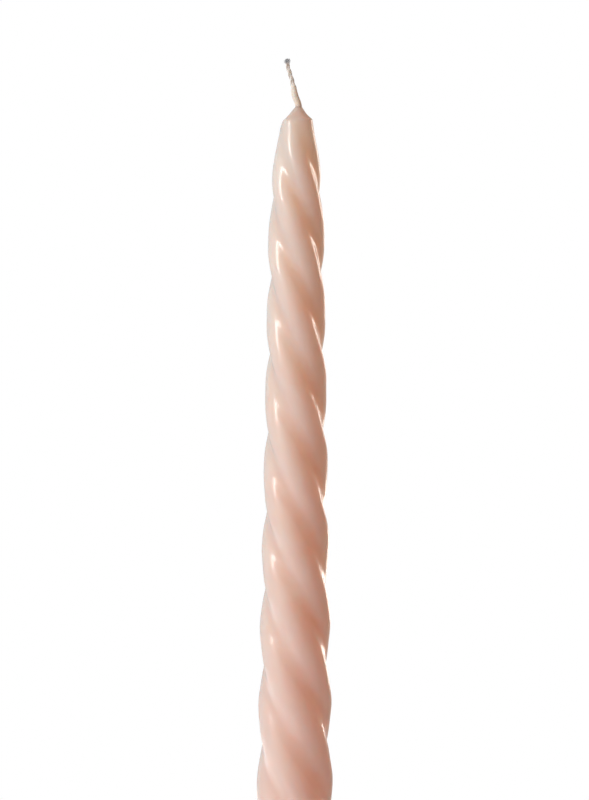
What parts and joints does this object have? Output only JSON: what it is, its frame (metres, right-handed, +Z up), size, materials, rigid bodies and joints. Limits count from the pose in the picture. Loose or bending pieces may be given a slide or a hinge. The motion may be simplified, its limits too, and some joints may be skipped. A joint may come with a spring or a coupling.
{
  "type": "twisted taper candle",
  "caption": "Slim tapering candle with a left-hand twist of rounded lobes, a plain round foot, a conical tip and a bent cotton wick.",
  "frame": {"origin": "centre of the foot's flat underside", "axes": "+Z up along the candle's axis from the foot to the tip, +X to the right as seen from the front, +Y away from the viewer; the wick leans towards -X"},
  "size_m": [0.0218, 0.0218, 0.2527],
  "materials": {
    "ivory_wax": "cut ivory wax, faintly translucent",
    "tinted_wax": "glossy dusty pink wax, paler towards the tip",
    "waxed_cotton": "braided cotton soaked in wax"
  },
  "bodies": {
    "candle": {"wax_core": "ivory_wax", "colour_dip": "tinted_wax", "wick_ply_1_buried": "waxed_cotton", "wick_ply_2_buried": "waxed_cotton", "wick_ply_3_buried": "waxed_cotton"},
    "wick_end": {"wick_ply_1_free": "waxed_cotton", "wick_ply_2_free": "waxed_cotton", "wick_ply_3_free": "waxed_cotton"}
  },
  "joints": [
    {"name": "wick_bend", "type": "hinge", "parent": "candle", "child": "wick_end", "pos_m": [0, 0, 0.2411], "axis": [0, 1, 0], "range_deg": [-47.5, 72.5]}
  ]
}
